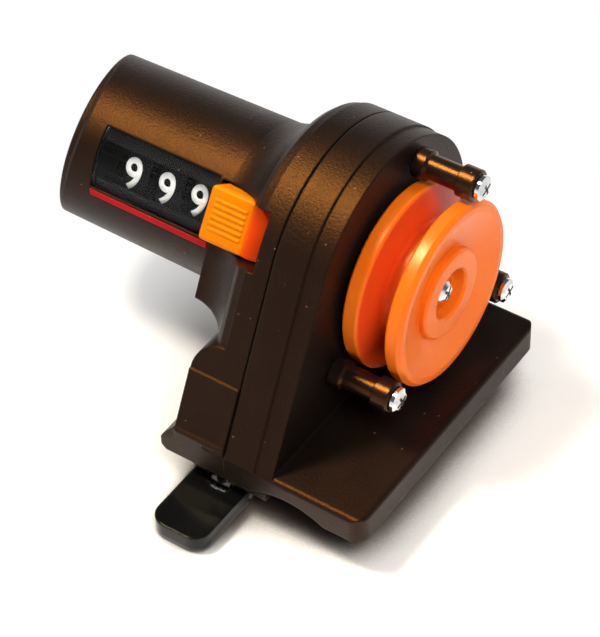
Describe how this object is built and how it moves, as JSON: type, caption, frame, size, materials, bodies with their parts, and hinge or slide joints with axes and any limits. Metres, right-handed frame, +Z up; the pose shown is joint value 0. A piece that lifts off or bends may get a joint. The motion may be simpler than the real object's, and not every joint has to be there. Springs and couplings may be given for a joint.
{
  "type": "fishing line counter",
  "caption": "Clamp-on fishing line counter: a grooved line wheel turns number wheels behind a window in a barrel housing, with guide rollers, a reset button and a lever clamp for the rod.",
  "frame": {"origin": "middle of the clamped rod's axis", "axes": "+Y along the rod, +X along the wheel's axis towards its screw, +Z up"},
  "size_m": [0.0799, 0.0689, 0.0532],
  "materials": {
    "housing_plastic": "satin",
    "clear_window": "gloss",
    "red_stripe": "gloss",
    "rubber": "matte",
    "brass": "satin",
    "steel": "satin",
    "chrome": "polished",
    "orange_plastic": "gloss",
    "amber_plastic": "gloss",
    "gear_plastic": "satin",
    "number_plastic": "satin",
    "black_plastic": "gloss"
  },
  "bodies": {
    "housing": {"front_shell": "housing_plastic", "rear_shell": "housing_plastic", "window_lens": "clear_window", "index_stripe": "red_stripe", "base_pad": "rubber", "shaft_bush": "brass", "gear_plate": "steel", "plate_screws": "steel", "first_arbor": "steel", "second_arbor": "steel", "number_shaft": "steel", "carry_shaft": "steel", "guide_screws": "chrome", "button_spring": "steel", "jaw_hinge_pin": "steel", "clamp_stud": "steel"},
    "wheel": {"line_wheel": "orange_plastic", "wheel_shaft": "steel", "wheel_washer": "chrome", "wheel_screw": "chrome", "drive_pinion": "brass"},
    "first_gear_body": {"first_gear": "gear_plastic"},
    "second_gear_body": {"second_gear": "gear_plastic"},
    "units": {"units_drive": "gear_plastic", "reset_cam": "brass", "units_wheel": "number_plastic"},
    "tens": {"tens_wheel": "number_plastic"},
    "hundreds": {"hundreds_wheel": "number_plastic"},
    "tens_pinion": {"tens_carry_pinion": "gear_plastic"},
    "hundreds_pinion": {"hundreds_carry_pinion": "gear_plastic"},
    "button": {"reset_button": "amber_plastic", "stem_clip": "steel"},
    "top_guide": {"top_guide_roller": "black_plastic"},
    "left_guide": {"left_guide_roller": "black_plastic"},
    "right_guide": {"right_guide_roller": "black_plastic"},
    "jaw": {"clamp_jaw": "housing_plastic", "jaw_pad": "rubber"},
    "lever": {"cam_lever": "black_plastic", "lever_pin": "steel"}
  },
  "joints": [
    {"name": "wheel_spin", "type": "hinge", "parent": "housing", "child": "wheel", "pos_m": [0, 0.0087, 0.0249], "axis": [1, 0, 0], "continuous": true},
    {"name": "first_gear_spin", "type": "hinge", "parent": "housing", "child": "first_gear_body", "pos_m": [0, -0.00115, 0.02664], "axis": [1, 0, 0], "continuous": true},
    {"name": "second_gear_spin", "type": "hinge", "parent": "housing", "child": "second_gear_body", "pos_m": [0, 0.00528, 0.0343], "axis": [1, 0, 0], "continuous": true},
    {"name": "units_spin", "type": "hinge", "parent": "housing", "child": "units", "pos_m": [0, 0.0087, 0.0262], "axis": [1, 0, 0], "continuous": true},
    {"name": "tens_spin", "type": "hinge", "parent": "housing", "child": "tens", "pos_m": [0, 0.0087, 0.0262], "axis": [1, 0, 0], "continuous": true},
    {"name": "hundreds_spin", "type": "hinge", "parent": "housing", "child": "hundreds", "pos_m": [0, 0.0087, 0.0262], "axis": [1, 0, 0], "continuous": true},
    {"name": "tens_pinion_spin", "type": "hinge", "parent": "housing", "child": "tens_pinion", "pos_m": [0, 0.0087, 0.01485], "axis": [1, 0, 0], "continuous": true},
    {"name": "hundreds_pinion_spin", "type": "hinge", "parent": "housing", "child": "hundreds_pinion", "pos_m": [0, 0.0087, 0.01485], "axis": [1, 0, 0], "continuous": true},
    {"name": "top_guide_spin", "type": "hinge", "parent": "housing", "child": "top_guide", "pos_m": [0, 0.01589, 0.0427], "axis": [1, 0, 0], "continuous": true},
    {"name": "left_guide_spin", "type": "hinge", "parent": "housing", "child": "left_guide", "pos_m": [0, -0.00856, 0.01648], "axis": [1, 0, 0], "continuous": true},
    {"name": "right_guide_spin", "type": "hinge", "parent": "housing", "child": "right_guide", "pos_m": [0, 0.02423, 0.01361], "axis": [1, 0, 0], "continuous": true},
    {"name": "button_press", "type": "slide", "parent": "housing", "child": "button", "axis": [0, 0.829, -0.5592], "range_m": [0, 0.002], "stiffness_N_per_m": 250, "deforming": ["button_spring"]},
    {"name": "lever_swing", "type": "hinge", "parent": "housing", "child": "lever", "pos_m": [-0.0141, -0.0238, -0.0029], "axis": [1, 0, 0], "range_deg": [0, 80]},
    {"name": "jaw_open", "type": "hinge", "parent": "housing", "child": "jaw", "pos_m": [0.0078, 0, -0.0024], "axis": [0, -1, 0], "range_deg": [0, 2.4]}
  ],
  "couplings": [
    {"joint": "first_gear_spin", "follows": "wheel_spin", "ratio": -0.25},
    {"joint": "second_gear_spin", "follows": "wheel_spin", "ratio": 0.0625},
    {"joint": "units_spin", "follows": "wheel_spin", "ratio": -0.020833},
    {"joint": "tens_spin", "follows": "wheel_spin", "ratio": -0.0020833},
    {"joint": "hundreds_spin", "follows": "wheel_spin", "ratio": -0.00020833},
    {"joint": "tens_pinion_spin", "follows": "wheel_spin", "ratio": 0.013021},
    {"joint": "hundreds_pinion_spin", "follows": "wheel_spin", "ratio": 0.0013021},
    {"joint": "jaw_open", "follows": "lever_swing", "ratio": 0.03}
  ]
}
